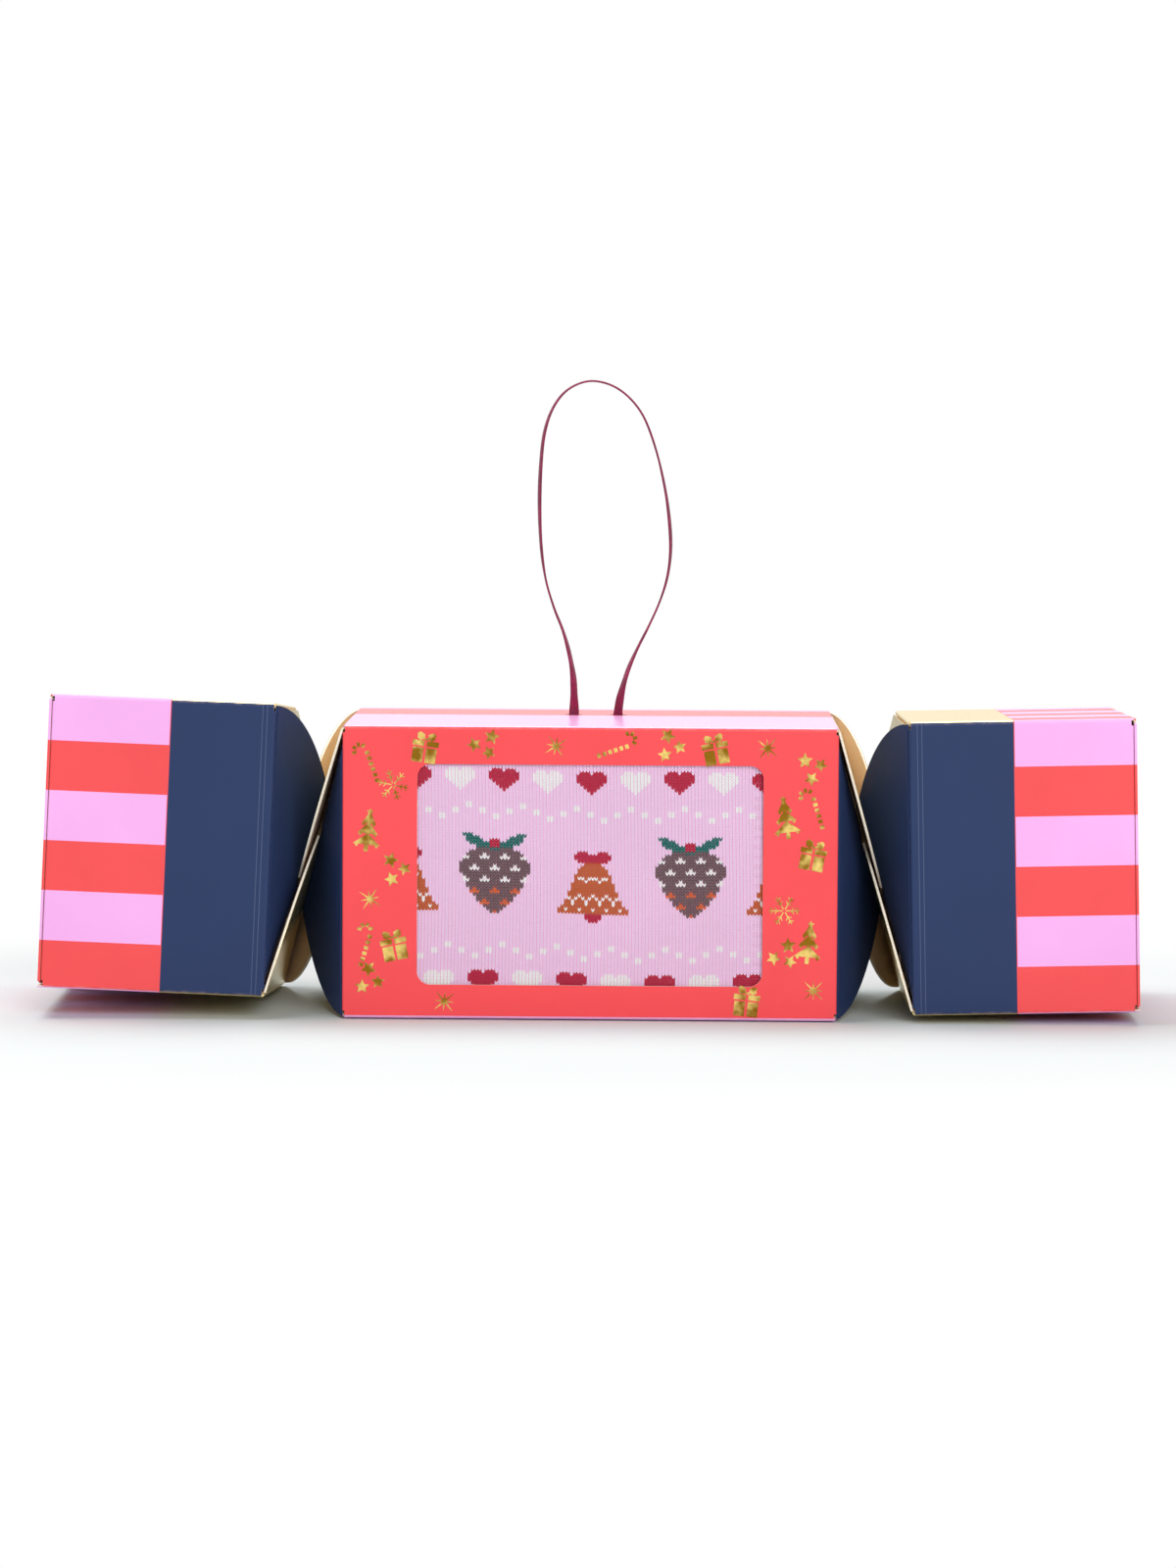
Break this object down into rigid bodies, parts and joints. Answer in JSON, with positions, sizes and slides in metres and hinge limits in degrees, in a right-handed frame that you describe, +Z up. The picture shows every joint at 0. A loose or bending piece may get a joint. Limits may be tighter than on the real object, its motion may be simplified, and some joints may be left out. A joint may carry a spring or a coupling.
{
  "type": "christmas cracker",
  "caption": "Square card gift cracker with twisted necks, tuck-lid ends, a windowed centre box holding knitted socks, and a ribbon hanging loop.",
  "frame": {"origin": "middle of the centre box on the surface it stands on", "axes": "+X along the tube, -Y the windowed front, +Z up"},
  "size_m": [0.2703, 0.077, 0.1566],
  "materials": {
    "card_coral": "satin print",
    "card_pink": "satin print",
    "card_navy": "satin print",
    "card_gold": "gold foil print",
    "card_plain": "uncoated",
    "knit": "knitted",
    "ribbon": "satin"
  },
  "bodies": {
    "centre_box": {"front_panel": "card_coral", "top_panel": "card_pink", "back_panel": "card_coral", "bottom_panel": "card_pink", "glue_flap": "card_plain", "sock_front": "knit", "sock_rear": "knit", "sock_card": "card_plain", "ribbon_loop": "ribbon", "ribbon_knot_left": "ribbon", "ribbon_knot_right": "ribbon"},
    "left_inner_flap_front": {"left_inner_flap_front": "card_navy"},
    "left_inner_flap_bottom": {"left_inner_flap_bottom": "card_gold"},
    "left_inner_flap_back": {"left_inner_flap_back": "card_navy"},
    "left_inner_flap_top": {"left_inner_flap_top": "card_gold"},
    "left_outer_flap_front": {"left_outer_flap_front": "card_navy"},
    "left_outer_flap_bottom": {"left_outer_flap_bottom": "card_gold"},
    "left_outer_flap_back": {"left_outer_flap_back": "card_navy"},
    "left_outer_flap_top": {"left_outer_flap_top": "card_gold"},
    "left_end": {"left_end_front": "card_navy", "left_end_bottom": "card_gold", "left_end_back": "card_navy", "left_end_top": "card_gold", "left_end_glue_flap": "card_plain"},
    "left_lid": {"left_lid": "card_coral"},
    "left_lid_tongue": {"left_lid_tongue": "card_plain"},
    "left_dust_flap_front": {"left_dust_flap_front": "card_plain"},
    "left_dust_flap_back": {"left_dust_flap_back": "card_plain"},
    "right_inner_flap_front": {"right_inner_flap_front": "card_navy"},
    "right_inner_flap_bottom": {"right_inner_flap_bottom": "card_gold"},
    "right_inner_flap_back": {"right_inner_flap_back": "card_navy"},
    "right_inner_flap_top": {"right_inner_flap_top": "card_gold"},
    "right_outer_flap_front": {"right_outer_flap_front": "card_navy"},
    "right_outer_flap_bottom": {"right_outer_flap_bottom": "card_gold"},
    "right_outer_flap_back": {"right_outer_flap_back": "card_navy"},
    "right_outer_flap_top": {"right_outer_flap_top": "card_gold"},
    "right_end": {"right_end_front": "card_navy", "right_end_bottom": "card_gold", "right_end_back": "card_navy", "right_end_top": "card_gold", "right_end_glue_flap": "card_plain"},
    "right_lid": {"right_lid": "card_coral"},
    "right_lid_tongue": {"right_lid_tongue": "card_plain"},
    "right_dust_flap_front": {"right_dust_flap_front": "card_plain"},
    "right_dust_flap_back": {"right_dust_flap_back": "card_plain"}
  },
  "joints": [
    {"name": "left_untwist", "type": "hinge", "parent": "left_outer_flap_bottom", "child": "left_end", "pos_m": [-0.08029, -0.00259, 0.00326], "axis": [0.0027, -0.9973, 0.0732], "range_deg": [0, 74.97], "deforming": ["left_inner_flap_front", "left_inner_flap_bottom", "left_inner_flap_back", "left_inner_flap_top", "left_outer_flap_front", "left_outer_flap_bottom", "left_outer_flap_back", "left_outer_flap_top"]},
    {"name": "left_crease_inner_front", "type": "hinge", "parent": "centre_box", "child": "left_inner_flap_front", "pos_m": [-0.06, -0.0354, 0.036], "axis": [0, 0, 1], "range_deg": [0, 73.35]},
    {"name": "left_crease_diagonal", "type": "hinge", "parent": "left_inner_flap_front", "child": "left_outer_flap_bottom", "pos_m": [-0.07019, -0.00134, 0.03603], "axis": [-0.2033, 0.6792, -0.7053], "range_deg": [0, 155.53]},
    {"name": "left_crease_inner_bottom", "type": "hinge", "parent": "centre_box", "child": "left_inner_flap_bottom", "pos_m": [-0.06, 0, 0.0006], "axis": [0, -1, 0], "range_deg": [0, 75.86]},
    {"name": "left_crease_inner_back", "type": "hinge", "parent": "centre_box", "child": "left_inner_flap_back", "pos_m": [-0.06, 0.0354, 0.036], "axis": [0, 0, -1], "range_deg": [0, 75.51]},
    {"name": "left_crease_inner_top", "type": "hinge", "parent": "centre_box", "child": "left_inner_flap_top", "pos_m": [-0.06, 0, 0.0714], "axis": [0, 1, 0], "range_deg": [0, 72.88]},
    {"name": "left_crease_outer_front", "type": "hinge", "parent": "left_end", "child": "left_outer_flap_front", "pos_m": [-0.0789, -0.0353, 0.04113], "axis": [-0.0365, -0.0732, -0.9966], "range_deg": [0, 75.41]},
    {"name": "left_crease_outer_back", "type": "hinge", "parent": "left_end", "child": "left_outer_flap_back", "pos_m": [-0.0791, 0.0353, 0.03595], "axis": [0.0365, 0.0732, 0.9966], "range_deg": [0, 73.32]},
    {"name": "left_crease_outer_top", "type": "hinge", "parent": "left_end", "child": "left_outer_flap_top", "pos_m": [-0.07771, 0.00259, 0.07382], "axis": [0.0027, -0.9973, 0.0732], "range_deg": [0, 73.76]},
    {"name": "left_lid_hinge", "type": "hinge", "parent": "left_end", "child": "left_lid", "pos_m": [-0.13207, 0.00259, 0.07581], "axis": [-0.0027, 0.9973, -0.0732], "range_deg": [0, 120]},
    {"name": "left_tongue_crease", "type": "hinge", "parent": "left_lid", "child": "left_lid_tongue", "pos_m": [-0.13462, -0.00253, 0.00615], "axis": [0.0027, -0.9973, 0.0732], "range_deg": [0, 88]},
    {"name": "left_dust_front_crease", "type": "hinge", "parent": "left_end", "child": "left_dust_flap_front", "pos_m": [-0.13257, -0.0353, 0.0431], "axis": [-0.0365, -0.0732, -0.9966], "range_deg": [0, 80]},
    {"name": "left_dust_back_crease", "type": "hinge", "parent": "left_end", "child": "left_dust_flap_back", "pos_m": [-0.13276, 0.0353, 0.03792], "axis": [0.0365, 0.0732, 0.9966], "range_deg": [0, 80]},
    {"name": "right_untwist", "type": "hinge", "parent": "right_outer_flap_bottom", "child": "right_end", "pos_m": [0.07986, -0.0008, 0.00143], "axis": [0.0006, 0.9997, -0.0227], "range_deg": [0, 75.39], "deforming": ["right_inner_flap_front", "right_inner_flap_bottom", "right_inner_flap_back", "right_inner_flap_top", "right_outer_flap_front", "right_outer_flap_bottom", "right_outer_flap_back", "right_outer_flap_top"]},
    {"name": "right_crease_inner_front", "type": "hinge", "parent": "centre_box", "child": "right_inner_flap_front", "pos_m": [0.06, -0.0354, 0.036], "axis": [0, 0, -1], "range_deg": [0, 74.15]},
    {"name": "right_crease_diagonal", "type": "hinge", "parent": "right_inner_flap_front", "child": "right_outer_flap_bottom", "pos_m": [0.06994, -0.00041, 0.03601], "axis": [-0.1959, -0.6895, 0.6973], "range_deg": [0, 157.39]},
    {"name": "right_crease_inner_bottom", "type": "hinge", "parent": "centre_box", "child": "right_inner_flap_bottom", "pos_m": [0.06, 0, 0.0006], "axis": [0, 1, 0], "range_deg": [0, 75.62]},
    {"name": "right_crease_inner_back", "type": "hinge", "parent": "centre_box", "child": "right_inner_flap_back", "pos_m": [0.06, 0.0354, 0.036], "axis": [0, 0, 1], "range_deg": [0, 75.5]},
    {"name": "right_crease_inner_top", "type": "hinge", "parent": "centre_box", "child": "right_inner_flap_top", "pos_m": [0.06, 0, 0.0714], "axis": [0, -1, 0], "range_deg": [0, 74]},
    {"name": "right_crease_outer_front", "type": "hinge", "parent": "right_end", "child": "right_outer_flap_front", "pos_m": [0.07898, -0.03539, 0.03761], "axis": [-0.0244, 0.0227, 0.9994], "range_deg": [0, 75.47]},
    {"name": "right_crease_outer_back", "type": "hinge", "parent": "right_end", "child": "right_outer_flap_back", "pos_m": [0.07902, 0.03539, 0.036], "axis": [0.0244, -0.0227, -0.9994], "range_deg": [0, 74.15]},
    {"name": "right_crease_outer_top", "type": "hinge", "parent": "right_end", "child": "right_outer_flap_top", "pos_m": [0.07814, 0.0008, 0.07219], "axis": [0.0006, 0.9997, -0.0227], "range_deg": [0, 74.22]},
    {"name": "right_lid_hinge", "type": "hinge", "parent": "right_end", "child": "right_lid", "pos_m": [0.13252, 0.0008, 0.07352], "axis": [-0.0006, -0.9997, 0.0227], "range_deg": [0, 120]},
    {"name": "right_tongue_crease", "type": "hinge", "parent": "right_lid", "child": "right_lid_tongue", "pos_m": [0.13423, -0.00078, 0.00366], "axis": [0.0006, 0.9997, -0.0227], "range_deg": [0, 88]},
    {"name": "right_dust_front_crease", "type": "hinge", "parent": "right_end", "child": "right_dust_flap_front", "pos_m": [0.13266, -0.03539, 0.03892], "axis": [-0.0244, 0.0227, 0.9994], "range_deg": [0, 80]},
    {"name": "right_dust_back_crease", "type": "hinge", "parent": "right_end", "child": "right_dust_flap_back", "pos_m": [0.1327, 0.03539, 0.03732], "axis": [0.0244, -0.0227, -0.9994], "range_deg": [0, 80]}
  ],
  "couplings": [
    {"joint": "left_crease_inner_front", "follows": "left_untwist", "ratio": 0.97813},
    {"joint": "left_crease_diagonal", "follows": "left_untwist", "ratio": 2.0743},
    {"joint": "left_crease_inner_bottom", "follows": "left_untwist", "ratio": 1.0117},
    {"joint": "left_crease_inner_back", "follows": "left_untwist", "ratio": 1.007},
    {"joint": "left_crease_inner_top", "follows": "left_untwist", "ratio": 0.97198},
    {"joint": "left_crease_outer_front", "follows": "left_untwist", "ratio": 1.0056},
    {"joint": "left_crease_outer_back", "follows": "left_untwist", "ratio": 0.97784},
    {"joint": "left_crease_outer_top", "follows": "left_untwist", "ratio": 0.9837},
    {"joint": "left_tongue_crease", "follows": "left_lid_hinge", "ratio": 0.73},
    {"joint": "right_crease_inner_front", "follows": "right_untwist", "ratio": 0.98339},
    {"joint": "right_crease_diagonal", "follows": "right_untwist", "ratio": 2.0875},
    {"joint": "right_crease_inner_bottom", "follows": "right_untwist", "ratio": 1.003},
    {"joint": "right_crease_inner_back", "follows": "right_untwist", "ratio": 1.0013},
    {"joint": "right_crease_inner_top", "follows": "right_untwist", "ratio": 0.98143},
    {"joint": "right_crease_outer_front", "follows": "right_untwist", "ratio": 1.001},
    {"joint": "right_crease_outer_back", "follows": "right_untwist", "ratio": 0.98342},
    {"joint": "right_crease_outer_top", "follows": "right_untwist", "ratio": 0.98439},
    {"joint": "right_tongue_crease", "follows": "right_lid_hinge", "ratio": 0.73}
  ]
}
